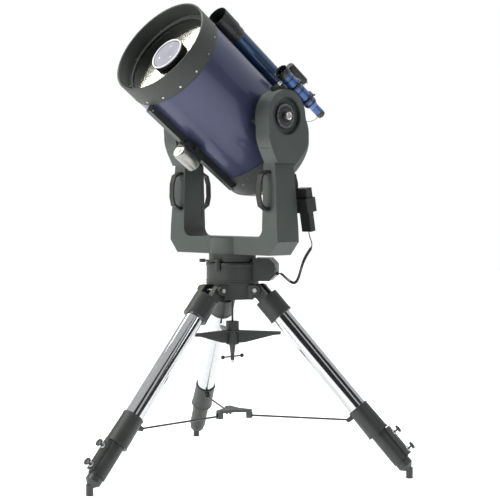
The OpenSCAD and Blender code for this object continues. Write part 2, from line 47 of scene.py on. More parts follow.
altPivot = Vector((0, axisY, 1.546))
tubePlace = Matrix.Translation(altPivot) @ Matrix.Rotation(math.radians(55.6), 4, "X")
legAngles = {1: 270, 2: 30, 3: 150}


def legPlace(number):
    return (Matrix.Translation((0, axisY, 0)) @ Matrix.Rotation(math.radians(legAngles[number]), 4, "Z")
            @ Matrix.Translation((0.124, 0, 0.798)) @ Matrix.Rotation(math.radians(138.8), 4, "Y"))


def alongX(x, y=0.0, z=0.0):
    return Matrix.Translation((x, y, z)) @ Matrix.Rotation(math.radians(90), 4, "Y")


# camera
print("camera")
view = bpy.data.cameras.new("studio camera")
view.lens = 93.15
view.sensor_width = 36
view.shift_x = 0.0034
view.shift_y = 0.0062
camera = bpy.data.objects.new("studio camera", view)
camera.location = (4.1644, -3.9293 + axisY, 1.1951)
camera.rotation_euler = (math.radians(87.612), 0, math.radians(45.96))
bpy.context.collection.objects.link(camera)
bpy.context.scene.camera = camera


# material maths
class Value:
    def __init__(self, tree, socket):
        self.tree = tree
        self.socket = socket

    def calc(self, operation, other=None, swap=False):
        maths = self.tree.nodes.new("ShaderNodeMath")
        maths.operation = operation
        order = [self, other] if not swap else [other, self]
        for slot, item in enumerate(order):
            if isinstance(item, Value):
                self.tree.links.new(item.socket, maths.inputs[slot])
            elif item is not None:
                maths.inputs[slot].default_value = item
        return Value(self.tree, maths.outputs[0])

    def __add__(self, other):
        return self.calc("ADD", other)

    def __radd__(self, other):
        return self.calc("ADD", other, True)

    def __sub__(self, other):
        return self.calc("SUBTRACT", other)

    def __rsub__(self, other):
        return self.calc("SUBTRACT", other, True)

    def __mul__(self, other):
        return self.calc("MULTIPLY", other)

    def __rmul__(self, other):
        return self.calc("MULTIPLY", other, True)

    def __truediv__(self, other):
        return self.calc("DIVIDE", other)

    def __gt__(self, other):
        return self.calc("GREATER_THAN", other)

    def __lt__(self, other):
        return self.calc("LESS_THAN", other)

    def __pow__(self, other):
        return self.calc("POWER", other)

    def clamp(self):
        limit = self.calc("ADD", 0.0)
        limit.socket.node.use_clamp = True
        return limit


class Finish:
    def __init__(self, name):
        self.material = bpy.data.materials.new(name)
        self.material.use_nodes = True
        self.nodes = self.material.node_tree.nodes
        self.links = self.material.node_tree.links
        self.shader = self.nodes["Principled BSDF"]
        self.place = self.add("ShaderNodeTexCoord").outputs["Object"]

    def add(self, kind, feeds=None, **settings):
        made = self.nodes.new(kind)
        for key, item in settings.items():
            setattr(made, key, item)
        for key, item in (feeds or {}).items():
            if isinstance(item, Value):
                item = item.socket
            if isinstance(item, bpy.types.NodeSocket):
                self.links.new(item, made.inputs[key])
            else:
                made.inputs[key].default_value = item
        return made

    def noise(self, scale, detail=2.0, rough=0.5, stretch=None):
        where = self.place
        if stretch:
            where = self.add("ShaderNodeMapping", {"Vector": where, "Scale": stretch}).outputs[0]
        made = self.add("ShaderNodeTexNoise",
                        {"Vector": where, "Scale": scale, "Detail": detail, "Roughness": rough})
        return Value(self, made.outputs["Fac"])

    def grain(self, scale):
        made = self.add("ShaderNodeTexVoronoi", {"Vector": self.place, "Scale": scale})
        return Value(self, made.outputs["Distance"])

    def mix(self, factor, first, second):
        made = self.add("ShaderNodeMix", data_type="RGBA")
        for key, item in ((0, factor), (6, first), (7, second)):
            if isinstance(item, Value):
                item = item.socket
            if isinstance(item, bpy.types.NodeSocket):
                self.links.new(item, made.inputs[key])
            else:
                made.inputs[key].default_value = (*item, 1.0) if key else item
        return made.outputs[2]

    def bump(self, height, strength, distance):
        made = self.add("ShaderNodeBump", {"Height": height, "Strength": strength, "Distance": distance})
        self.links.new(made.outputs[0], self.shader.inputs["Normal"])

    def set(self, **inputs):
        for key, item in inputs.items():
            name = {"color": "Base Color", "rough": "Roughness", "metal": "Metallic", "coat": "Coat Weight",
                    "coatRough": "Coat Roughness", "alpha": "Alpha", "ior": "IOR",
                    "spec": "Specular IOR Level",
                    "transmission": "Transmission Weight", "aniso": "Anisotropic"}[key]
            if isinstance(item, Value):
                item = item.socket
            if isinstance(item, bpy.types.NodeSocket):
                self.links.new(item, self.shader.inputs[name])
            elif isinstance(item, tuple):
                self.shader.inputs[name].default_value = (*item, 1.0)
            else:
                self.shader.inputs[name].default_value = item
        return self.material


def crackle(name, dark, light, rough, depth=0.0003):
    paint = Finish(name)
    cells = paint.grain(520)
    broad = paint.noise(9, 4)
    paint.bump(cells, 0.35, depth)
    return paint.set(color=paint.mix((broad * 0.7 + cells * 0.4).clamp(), dark, light),
                     rough=(broad * 0.16 + rough).clamp(), spec=0.5)


def lacquer(name, dark, light, rough, metal, coat):
    paint = Finish(name)
    flake = paint.grain(900)
    broad = paint.noise(5, 3)
    fine = paint.noise(320, 2)
    paint.bump(fine, 0.06, 0.0002)
    return paint.set(color=paint.mix((broad * 0.5 + flake * 0.5).clamp(), dark, light), metal=metal,
                     rough=(fine * 0.1 + rough).clamp(), coat=coat, coatRough=0.08)


def metalFinish(name, dark, light, rough, stretch=(1, 1, 1), scale=60):
    paint = Finish(name)
    streak = paint.noise(scale, 3, 0.6, stretch)
    paint.bump(streak, 0.03, 0.0002)
    return paint.set(color=paint.mix(streak, dark, light), metal=1.0, rough=(streak * 0.08 + rough).clamp())


def plasticFinish(name, dark, light, rough, scale=700):
    paint = Finish(name)
    fine = paint.noise(scale, 2)
    broad = paint.noise(14, 3)
    paint.bump(fine, 0.15, 0.0002)
    return paint.set(color=paint.mix(broad, dark, light), rough=(fine * 0.12 + rough).clamp())


print("materials")
looks = {
    "casting": crackle("black casting paint", (0.006, 0.008, 0.007), (0.024, 0.029, 0.026), 0.36),
    "fork": crackle("grey fork paint", (0.028, 0.036, 0.033), (0.052, 0.063, 0.058), 0.4),
    "blue": lacquer("blue tube lacquer", (0.021, 0.026, 0.064), (0.052, 0.06, 0.124), 0.36, 0.45, 0.35),
    "cell": crackle("front cell paint", (0.012, 0.015, 0.013), (0.036, 0.043, 0.038), 0.46),
    "chrome": metalFinish("leg chrome", (0.44, 0.46, 0.47), (0.6, 0.61, 0.62), 0.07),
    "steel": metalFinish("bolt steel", (0.34, 0.35, 0.36), (0.52, 0.53, 0.54), 0.28, scale=220),
    "silver": metalFinish("turned aluminium", (0.5, 0.5, 0.49), (0.72, 0.72, 0.7), 0.24, scale=180),
    "weight": metalFinish("polished weight", (0.2, 0.2, 0.19), (0.38, 0.38, 0.36), 0.26, scale=90),
    "brass": metalFinish("machined brass", (0.45, 0.33, 0.13), (0.68, 0.52, 0.24), 0.28),
    "black": plasticFinish("black plastic", (0.006, 0.006, 0.007), (0.018, 0.019, 0.02), 0.34),
    "anodised": plasticFinish("black anodising", (0.006, 0.007, 0.007), (0.02, 0.022, 0.022), 0.3),
    "rubber": plasticFinish("strap rubber", (0.006, 0.006, 0.006), (0.014, 0.014, 0.014), 0.5, 400),
    "jacket": plasticFinish("cord jacket", (0.006, 0.006, 0.007), (0.016, 0.017, 0.018), 0.35, 500),
    "cap": crackle("white cap paint", (0.62, 0.61, 0.66), (0.78, 0.77, 0.82), 0.35, 0.0001),
    "disc": crackle("speckled grey disc", (0.1, 0.103, 0.13), (0.27, 0.275, 0.33), 0.45, 0.0004),
    "flock": plasticFinish("flat black lining", (0.002, 0.002, 0.002), (0.007, 0.007, 0.007), 0.9, 900),
    "mirror": metalFinish("mirror coating", (0.86, 0.88, 0.9), (0.9, 0.91, 0.93), 0.0, scale=8),
    "guide": lacquer("guide tube lacquer", (0.01, 0.032, 0.082), (0.028, 0.075, 0.16), 0.28, 0.6, 0.4),
    "finder": lacquer("finder lacquer", (0.02, 0.06, 0.2), (0.055, 0.14, 0.38), 0.3, 0.5, 0.4),
    "inner": plasticFinish("inner leg finish", (0.014, 0.015, 0.016), (0.035, 0.037, 0.04), 0.32),
}

glass = Finish("coated glass")
clearPart = glass.add("ShaderNodeBsdfTransparent", {"Color": (0.97, 0.99, 0.985, 1)})
shinePart = glass.add("ShaderNodeBsdfGlossy", {"Color": (0.9, 0.9, 0.84, 1), "Roughness": 0.05})
dust = glass.noise(30, 4)
facing = glass.add("ShaderNodeLayerWeight", {"Blend": 0.12}).outputs["Fresnel"]
both = glass.add("ShaderNodeMixShader", {0: (Value(glass, facing) * 0.3 + dust * 0.02 + 0.012).clamp(),
                                         1: clearPart.outputs[0], 2: shinePart.outputs[0]})
glass.links.new(both.outputs[0], glass.nodes["Material Output"].inputs["Surface"])
looks["glass"] = glass.material

carried = {
    "tripod_head": "casting", "leg_hinge_bolts": "steel", "drive_base": "casting", "azimuth_drive": "brass",
    "control_panel": "casting", "power_switch": "black", "azimuth_lock_lever": "casting",
    "spreader": "casting", "tension_rod": "inner", "brace_hub": "fork", "brace_1": "inner",
           "brace_2": "inner",
    "brace_3": "inner", "fork_base": "fork", "azimuth_shaft": "casting", "left_arm": "fork",
    "right_arm": "fork", "left_head": "fork", "right_head": "fork", "carry_handles": "rubber",
    "altitude_lock_knob": "silver", "handset_holder": "black", "handset": "black", "main_tube": "blue",
    "front_cell": "cell", "cell_screws": "steel", "corrector_plate": "glass", "secondary_housing": "cap",
    "secondary_mirror": "mirror", "primary_mirror": "mirror", "baffle_tube": "flock", "rear_cell": "cell",
    "focus_knob": "black", "trunnions": "casting", "rails": "anodised", "balance_weight": "weight",
    "weight_knob": "black", "guide_tube": "guide", "guide_fittings": "anodised",
           "guide_focus_knob": "silver",
    "scope_lenses": "glass", "finder_tube": "finder", "finder_fittings": "anodised",
           "finder_wire": "jacket",
}
for number in legAngles:
    carried[f"leg_{number}_castings"] = "casting"
    carried[f"leg_{number}_tube"] = "chrome"
    carried[f"leg_{number}_extension"] = "inner"
    carried[f"leg_{number}_knob_upper"] = "black"
    carried[f"leg_{number}_knob_lower"] = "black"
for nodeName, look in carried.items():
    data = cadNodes[nodeName].data
    data.materials.clear()
    data.materials.append(looks[look])


def softenNode(nodeName, width, segments=2):
    node = cadNodes[nodeName]
    merge = node.modifiers.new("merge flats", "DECIMATE")
    merge.decimate_type = "DISSOLVE"
    merge.angle_limit = math.radians(0.5)
    edge = node.modifiers.new("edge", "BEVEL")
    edge.width = width
    edge.segments = segments
    edge.limit_method = "ANGLE"
    edge.angle_limit = math.radians(35)
    edge.harden_normals = True


def addPiece(name, shape, body, look, place=None, edge=0.0, hides=(), sharp=35):
    if place is not None:
        bmesh.ops.transform(shape, matrix=place, verts=shape.verts)
    bmesh.ops.recalc_face_normals(shape, faces=shape.faces)
    mesh = bpy.data.meshes.new(name)
    shape.to_mesh(mesh)
    shape.free()
    mesh.materials.append(looks[look])
    mesh.shade_smooth()
    mesh.set_sharp_from_angle(angle=math.radians(sharp))
    piece = bpy.data.objects.new(name.replace(" ", "_"), mesh)
    bpy.context.collection.objects.link(piece)
    if edge:
        bevel = piece.modifiers.new("edge", "BEVEL")
        bevel.width = edge
        bevel.segments = 2
        bevel.limit_method = "ANGLE"
        bevel.angle_limit = math.radians(30)
    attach(piece, body)
    if hides:
        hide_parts(*hides)
    return piece


def turned(profile, steps=64, shape=None, place=None):
    made = bmesh.new()
    ring = [made.verts.new((radius, 0, height)) for radius, height in profile]
    line = [made.edges.new(pair) for pair in zip(ring, ring[1:])]
    bmesh.ops.spin(made, geom=ring + line, cent=(0, 0, 0), axis=(0, 0, 1), angle=2 * math.pi,
                   steps=steps, use_merge=True)
    bmesh.ops.remove_doubles(made, verts=made.verts, dist=0.00001)
    return joined(shape, made, place)


def joined(shape, made, place=None):
    if place is not None:
        bmesh.ops.transform(made, matrix=place, verts=made.verts)
    if shape is None:
        return made
    bmesh.ops.recalc_face_normals(made, faces=made.faces)
    carrier = bpy.data.meshes.new("carrier")
    made.to_mesh(carrier)
    made.free()
    shape.from_mesh(carrier)
    bpy.data.meshes.remove(carrier)
    return shape


def block(shape, low, high, place=None):
    made = bmesh.new()
    size = Vector(high) - Vector(low)
    middle = (Vector(high) + Vector(low)) / 2
    bmesh.ops.create_cube(made, size=1, matrix=Matrix.Translation(middle) @ Matrix.Diagonal((*size, 1)))
    return joined(shape, made, place)


def barrel(shape, radius, start, end, place=None, top=None, segments=48):
    made = bmesh.new()
    bmesh.ops.create_cone(made, cap_ends=True, segments=segments, radius1=radius,
                          radius2=radius if top is None else top, depth=end - start,
                          matrix=Matrix.Translation((0, 0, (start + end) / 2)))
    return joined(shape, made, place)


# handset cord, made first after the camera
print("cord")
panelWay = Vector((math.cos(math.radians(35)), math.sin(math.radians(35)), 0))
home = Vector((0, axisY, 0))
cordStart = panelWay * 0.2081 + Vector((0, 0, 0.868))
handEnd = Vector((0.336, 0.122 + 0.074 * math.sin(math.radians(11)),
                  1.130 - 0.074 * math.cos(math.radians(11))))
handWay = Vector((0, math.sin(math.radians(11)), -math.cos(math.radians(11))))
coilRoute = [cordStart, cordStart + panelWay * 0.01, Vector((0.190, 0.132, 0.858)),
             Vector((0.204, 0.138, 0.845)),
             Vector((0.220, 0.144, 0.833)), Vector((0.238, 0.147, 0.829)), Vector((0.252, 0.149, 0.838)),
             Vector((0.264, 0.149, 0.858)), Vector((0.275, 0.149, 0.885)), Vector((0.287, 0.148, 0.912)),
             Vector((0.302, 0.147, 0.938)), Vector((0.320, 0.146, 0.961)), Vector((0.337, 0.145, 0.980)),
             Vector((0.346, 0.144, 0.993))]
tailRoute = [coilRoute[-1], Vector((0.347, 0.1435, 1.004)), Vector((0.342, 0.1425, 1.020)),
             handEnd + handWay * 0.0201, handEnd + handWay * 0.0001]


def smoothLine(points, spacing):
    dense = []
    for index in range(len(points) - 1):
        before = points[max(index - 1, 0)]
        start, end = points[index], points[index + 1]
        after = points[min(index + 2, len(points) - 1)]
        for step in range(24):
            t = step / 24
            dense.append(0.5 * ((2 * start) + (end - before) * t + (2 * before - 5 * start + 4 * end - after) * t * t
                                + (3 * start - before - 3 * end + after) * t ** 3))
    dense.append(points[-1])
    evened = [dense[0]]
    carry = 0.0
    for first, second in zip(dense, dense[1:]):
        gap = (second - first).length
        while carry + gap >= spacing:
            first = first + (second - first).normalized() * (spacing - carry)
            gap = (second - first).length
            carry = 0.0
            evened.append(first)
        carry += gap
    evened.append(dense[-1])
    return evened


cordInfo = {"wire": 0.0042, "coil": 0.0047, "pitch": 0.0052, "perTurn": 14}
middleLine = smoothLine(coilRoute, cordInfo["pitch"] / cordInfo["perTurn"])
middleLine.pop()
cordPoints = [cordStart.copy()]
side = Vector((0, 0, 1))
coilTotal = len(middleLine)
for index in range(1, coilTotal):
    way = (middleLine[index] - middleLine[index - 1]).normalized()
    side = (side - way * side.dot(way)).normalized()
    other = way.cross(side)
    swell = min(1.0, index / 34, (coilTotal - index) / 44)
    turn = 2 * math.pi * index / cordInfo["perTurn"]
    cordPoints.append(middleLine[index] + (side * math.cos(turn) + other * math.sin(turn)) * cordInfo["coil"] * swell)
cordPoints += smoothLine(tailRoute, 0.002)[1:]
cordPoints = [point + home for point in cordPoints]
cordLength = sum((b - a).length for a, b in zip(cordPoints, cordPoints[1:]))
print("cord length", round(cordLength, 3))
wireData = bpy.data.curves.new("cord line", "CURVE")
wireData.dimensions = "3D"
wireData.bevel_depth = cordInfo["wire"] / 2
wireData.bevel_resolution = 1
wireData.use_fill_caps = True
wireLine = wireData.splines.new("POLY")
wireLine.points.add(len(cordPoints) - 1)
for spot, point in zip(wireLine.points, cordPoints):
    spot.co = (*point, 1)
wireObject = bpy.data.objects.new("cord line", wireData)
bpy.context.collection.objects.link(wireObject)
cordMesh = bpy.data.meshes.new_from_object(wireObject.evaluated_get(bpy.context.evaluated_depsgraph_get()))
bpy.data.objects.remove(wireObject)
cordMesh.materials.clear()
cordMesh.materials.append(looks["jacket"])
cordMesh.shade_smooth()
cordPiece = bpy.data.objects.new("handset_cord_line", cordMesh)
bpy.context.collection.objects.link(cordPiece)
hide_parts("handset_cord")
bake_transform(cordPiece)

# softened castings
print("castings")
for nodeName, width in {"fork_base": 0.004, "left_arm": 0.003, "right_arm": 0.003, "left_head": 0.006,
                        "right_head": 0.006, "control_panel": 0.004, "carry_handles": 0.002,
                        "handset": 0.003, "handset_holder": 0.002, "rails": 0.0012}.items():
    softenNode(nodeName, width)

# black lining of the tube, hiding the bright inner wall
print("lining")
lining = turned([(0.2262, -0.0995), (0.2257, -0.0995), (0.2257, 0.3855), (0.2262, 0.3855),
                 (0.2262, -0.0995)], 96)
addPiece("tube lining", lining, "tube", "flock", tubePlace)

# secondary cap: wall in flat black, its near-black recess floor painting the shade in the gap between ring and disc;
# white ring, speckled disc
print("secondary cap")
capSize = {"ring": 0.077, "disc": 0.065, "front": 0.462, "floor": 0.455, "glass": 0.441}
wall = turned([(0.0, capSize["glass"] + 0.0002), (0.0768, capSize["glass"] + 0.0002), (0.0768, 0.4475),
               (0.0755, 0.4482),
               (0.0755, 0.4502), (0.0768, 0.4509), (0.0768, 0.4565), (0.0712, 0.4565),
               (0.0708, capSize["floor"]),
               (0.0, capSize["floor"])], 96)
wall = turned([(0.0, 0.435), (0.0765, 0.435), (0.0765, 0.4065), (0.056, 0.4065), (0.056, 0.427),
               (0.0, 0.427)],
              96, wall)
# the flat black of this wall is painted shade for the recess round the disc
addPiece("secondary wall", wall, "tube", "flock", tubePlace, hides=("secondary_housing",))
ring = turned([(0.0712, 0.4566), (0.077, 0.4566), (0.077, 0.4605), (0.0758, capSize["front"]),
               (0.0722, capSize["front"]),
               (0.0712, 0.4603), (0.0712, 0.4566)], 96)
addPiece("secondary ring", ring, "tube", "cap", tubePlace)
disc = turned([(0.0, 0.4582), (0.012, 0.4582), (0.013, 0.4578), (0.0655, 0.4578), (0.066, 0.4584),
               (0.0675, 0.4584), (0.068, 0.4574),
               (0.068, 0.4552), (0.0, 0.4552)], 96)
addPiece("secondary disc", disc, "tube", "disc", tubePlace)
screws = bmesh.new()
for turn in (90, 210, 330):
    spin = Matrix.Rotation(math.radians(turn), 4, "Z") @ Matrix.Translation((0.040, 0, 0))
    screws = barrel(screws, 0.0032, 0.457, 0.4592, spin, segments=20)
addPiece("secondary screws", screws, "tube", "steel", tubePlace)

# front cell with a rolled lip, seat and retaining ring
print("front cell")
cell = {"out": 0.231, "lip": 0.510, "bore": 0.2215, "back": 0.406}
shell = turned([(0.2262, 0.3865), (0.2262, cell["back"]), (0.2302, cell["back"]), (cell["out"], 0.4068),
                (cell["out"], 0.4105), (0.2303, 0.4112), (0.2303, 0.4127), (cell["out"], 0.4134),
                (cell["out"], 0.5055), (0.2299, 0.5088), (0.2279, cell["lip"]), (0.2245, cell["lip"]),
                (0.2226, 0.5086), (cell["bore"], 0.5048), (cell["bore"], 0.4412), (0.2065, 0.4412),
                (0.2065, 0.4362), (0.1995, 0.4362), (0.1995, 0.3865), (0.2262, 0.3865)], 160)
addPiece("front shell", shell, "tube", "cell", tubePlace, hides=("front_cell",), sharp=28)
retainer = turned([(0.2008, 0.4412), (0.2005, 0.4438), (0.2022, 0.4458), (0.2208, 0.4458), (0.2214, 0.4448),
                   (0.2214, 0.4412), (0.2008, 0.4412)], 160)
addPiece("retaining ring", retainer, "tube", "cell", tubePlace)
lipLine = turned([(0.2297, 0.5089), (0.2282, 0.51015), (0.2281, 0.5099), (0.2295, 0.5086),
                  (0.2297, 0.5089)], 160)
addPiece("lip line", lipLine, "tube", "anodised", tubePlace)

# guide scope
print("guide scope")
guidePlace = tubePlace @ Matrix.Translation((0.015, 0.303, -0.016))
guide = {"tube": 0.043, "shield": 0.0495, "motorX": 0.021, "motorY": 0.089}
shield = turned([(0.0395, 0.2505), (0.0455, 0.2505), (guide["shield"], 0.2535), (guide["shield"], 0.3505),
                 (0.0484, 0.3535), (0.0478, 0.3535), (0.0472, 0.3518), (0.0472, 0.2565), (0.0395, 0.2565),
                 (0.0395, 0.2505)], 96)
addPiece("guide dew shield", shield, "tube", "anodised", guidePlace,
         hides=("guide_fittings",))
shieldBead = turned([(0.0494, 0.3385), (0.0499, 0.339), (0.0499, 0.3435), (0.0494, 0.344),
                     (0.0494, 0.3385)], 96)
shieldBead = turned([(0.0494, 0.2585), (0.0499, 0.259), (0.0499, 0.2635), (0.0494, 0.264),
                     (0.0494, 0.2585)], 96, shieldBead)
addPiece("guide shield beads", shieldBead, "tube", "black", guidePlace)
collar = turned([(0.0431, 0.2142), (0.0452, 0.2142), (0.0459, 0.2155), (0.0459, 0.2485), (0.0452, 0.2498),
                 (0.0431, 0.2498), (0.0431, 0.2142)], 96)
collar = turned([(0.0456, 0.2215), (0.0466, 0.2225), (0.0466, 0.2255), (0.0456, 0.2265), (0.0456, 0.2215)],
                96, collar)
collar = turned([(0.0456, 0.2375), (0.0466, 0.2385), (0.0466, 0.2435), (0.0456, 0.2445), (0.0456, 0.2375)],
                96, collar)
addPiece("guide collar", collar, "tube", "anodised", guidePlace)
for footName, footStart in (("front", 0.222), ("rear", -0.008)):
    foot = block(None, (-0.016, -0.058, footStart), (0.016, -0.0418, footStart + 0.020))
    foot = block(foot, (-0.021, -0.058, footStart - 0.003), (0.021, -0.052, footStart + 0.023))
    addPiece(f"guide {footName} foot", foot, "tube", "anodised", guidePlace, edge=0.0006)
band = turned([(0.0431, -0.0975), (0.0452, -0.0975), (0.0459, -0.096), (0.0459, -0.0795), (0.0452, -0.078),
               (0.0431, -0.078), (0.0431, -0.0975)], 96)
addPiece("guide rear band", band, "tube", "silver", guidePlace)
focuser = turned([(0.0, -0.098), (0.0445, -0.098), (0.0458, -0.0995), (0.0458, -0.1105), (0.0445, -0.112),
                  (0.027, -0.1125), (0.024, -0.1165), (0.024, -0.1315), (0.0, -0.1315)], 72)
focuser = block(focuser, (-0.02, -0.02, -0.172), (0.02, 0.024, -0.132))
focuser = barrel(focuser, 0.014, 0.0235, 0.072, Matrix.Translation((0.012, 0, -0.152))
                 @ Matrix.Rotation(math.radians(-90), 4, "X"), segments=40)
addPiece("guide focuser", focuser, "tube", "anodised", guidePlace, edge=0.0008)
motorPlace = guidePlace @ Matrix.Translation((guide["motorX"], guide["motorY"], 0))
motor = turned([(0.0033, -0.2218), (0.0195, -0.2218), (0.021, -0.2205), (0.021, -0.2055), (0.0202, -0.2045),
                (0.0202, -0.2025), (0.021, -0.2015), (0.021, -0.1385), (0.0202, -0.1375), (0.0202, -0.1355),
                (0.021, -0.1345), (0.021, -0.1125), (0.0195, -0.108), (0.016, -0.1045), (0.0, -0.1042),
                (0.0, -0.120),
                (0.0033, -0.165), (0.0033, -0.2218)], 72)
addPiece("guide focus motor", motor, "tube", "black", motorPlace)
turnKnob = turned([(0.0, -0.236), (0.013, -0.236), (0.015, -0.2345), (0.015, -0.2265), (0.0142, -0.2235),
                   (0.0, -0.2235)], 48)
for step in range(24):
    turnKnob = block(turnKnob, (0.0146, -0.0005, -0.2345), (0.0154, 0.0005, -0.2265),
                     Matrix.Rotation(math.radians(step * 15), 4, "Z"))
turnKnob = barrel(turnKnob, 0.003, -0.2237, -0.176, segments=24)
addPiece("guide focus knob", turnKnob, "guide_focus_knob", "silver", motorPlace,
         hides=("guide_focus_knob",))

# finder
print("finder")
finderPlace = tubePlace @ Matrix.Translation((0.170, 0.247, 0))
finderTurn = math.atan2(0.170, 0.247)
finderFar = math.hypot(0.170, 0.247)
hood = turned([(0.0294, -0.0178), (0.0322, -0.0178), (0.033, -0.0165), (0.033, 0.0095), (0.032, 0.0118),
               (0.0305, 0.0118), (0.0285, 0.009), (0.0265, 0.0055), (0.0265, -0.009), (0.0294, -0.0098),
               (0.0294, -0.0178)], 72)
addPiece("finder hood", hood, "tube", "anodised", finderPlace, hides=("finder_fittings",))
for ringStart in (-0.096, -0.190):
    clamp = turned([(0.0292, ringStart), (0.0362, ringStart), (0.037, ringStart + 0.001),
                    (0.037, ringStart + 0.011),
                    (0.0362, ringStart + 0.012), (0.0292, ringStart + 0.012), (0.0292, ringStart)], 64)
    clamp = block(clamp, (-0.009, 0.237 - finderFar, ringStart), (0.009, -0.0345, ringStart + 0.012),
                  Matrix.Rotation(-finderTurn, 4, "Z"))
    for turn in (20, 140, 260):
        spin = Matrix.Rotation(math.radians(turn), 4, "Z") @ alongX(0, 0, ringStart + 0.006)
        clamp = barrel(clamp, 0.002, 0.0355, 0.043, spin, segments=16)
        clamp = barrel(clamp, 0.0045, 0.042, 0.049, spin, segments=16)
    addPiece("finder ring %d" % round(-ringStart * 1000), clamp, "tube", "anodised",
             finderPlace, edge=0.0005)
for bandStart in (-0.046, -0.128, -0.216):
    band = turned([(0.0291, bandStart), (0.0302, bandStart + 0.0005), (0.0302, bandStart + 0.0075),
                   (0.0291, bandStart + 0.008), (0.0291, bandStart)], 64)
    addPiece("finder band %d" % round(-bandStart * 1000), band, "tube", "anodised",
             finderPlace)
eyeEnd = turned([(0.0, -0.282), (0.0185, -0.282), (0.02, -0.284), (0.02, -0.304), (0.0185, -0.3075),
                 (0.0155, -0.3075),
                 (0.0135, -0.3045), (0.0, -0.3045)], 48)
addPiece("finder eyepiece", eyeEnd, "tube", "anodised", finderPlace)

# fork head dials and the lock knob
print("dials")
for sideName, flip in (("right", 1), ("left", -1)):
    dialPlace = Matrix.Translation(altPivot) @ Matrix.Rotation(math.radians(90 * flip), 4, "Y")
    rim = turned([(0.0772, 0.3225), (0.0772, 0.3382), (0.0782, 0.3398), (0.0802, 0.3404), (0.0826, 0.3398),
                  (0.0838, 0.3382),
                  (0.0838, 0.3376), (0.0781, 0.3376), (0.0781, 0.3225), (0.0772, 0.3225)], 112)
    addPiece(sideName + " dial rim", rim, "fork", "casting", dialPlace)
    plate = turned([(0.0, 0.3301), (0.028, 0.3301), (0.0295, 0.3308), (0.031, 0.3301), (0.0515, 0.3301),
                    (0.0525, 0.3316),
                    (0.0545, 0.3316), (0.0558, 0.3303), (0.0558, 0.3262), (0.0, 0.3262)] if flip < 0 else
                   [(0.0182, 0.3301), (0.028, 0.3301), (0.0295, 0.3308), (0.031, 0.3301), (0.0515, 0.3301),
                    (0.0525, 0.3316),
                    (0.0545, 0.3316), (0.0558, 0.3303), (0.0558, 0.3262), (0.0182, 0.3262),
                    (0.0182, 0.3301)], 96)
    addPiece(sideName + " dial plate", plate, "tube", "black", dialPlace)
    ticks = bmesh.new()
    for step in range(36):
        long = 0.0085 if step % 3 == 0 else 0.005
        spin = dialPlace @ Matrix.Rotation(math.radians(step * 10), 4, "Z")
        ticks = block(ticks, (0.0505 - long, -0.0005, 0.3302), (0.0505, 0.0005, 0.3305), spin)
    addPiece(sideName + " dial marks", ticks, "tube", "cap")
knob = turned([(0.0, 0.3342), (0.0168, 0.3342), (0.0176, 0.3352), (0.0176, 0.3475), (0.0166, 0.3502),
               (0.0135, 0.3512),
               (0.0125, 0.3502), (0.0, 0.3502)], 72)
grip = bmesh.new()
for step in range(36):
    spin = Matrix.Rotation(math.radians(step * 10), 4, "Z")
    grip = block(grip, (0.0172, -0.0005, 0.336), (0.0181, 0.0005, 0.347), spin)
joined(knob, grip)
knob = barrel(knob, 0.005, 0.300, 0.3345, segments=32)
addPiece("altitude knob", knob, "altitude_knob", "silver",
         Matrix.Translation(altPivot) @ Matrix.Rotation(math.radians(90), 4, "Y"),
         hides=("altitude_lock_knob",))

# rubber stop pad on the right head
pad = block(None, (0.2807, axisY - 0.0403, 1.6515), (0.2973, axisY - 0.0097, 1.6713))
addPiece("head stop pad", pad, "fork", "rubber", edge=0.0015)

# drive base lips and tripod head lip
print("drive base")
basePlace = Matrix.Translation(home)
lips = turned([(0.1150, 0.9010), (0.1172, 0.9022), (0.1176, 0.9045), (0.1176, 0.9125), (0.1165, 0.9158),
               (0.1140, 0.9172),
               (0.1060, 0.9174), (0.1060, 0.9170), (0.1150, 0.9010)], 128)
lips = turned([(0.1150, 0.8335), (0.1166, 0.8343), (0.1166, 0.8412), (0.1150, 0.8420), (0.1150, 0.8335)],
              128, lips)
lips = turned([(0.1150, 0.8222), (0.1164, 0.8230), (0.1164, 0.8305), (0.1150, 0.8313), (0.1150, 0.8222)],
              128, lips)
addPiece("drive base lips", lips, "base", "casting", basePlace, sharp=30)

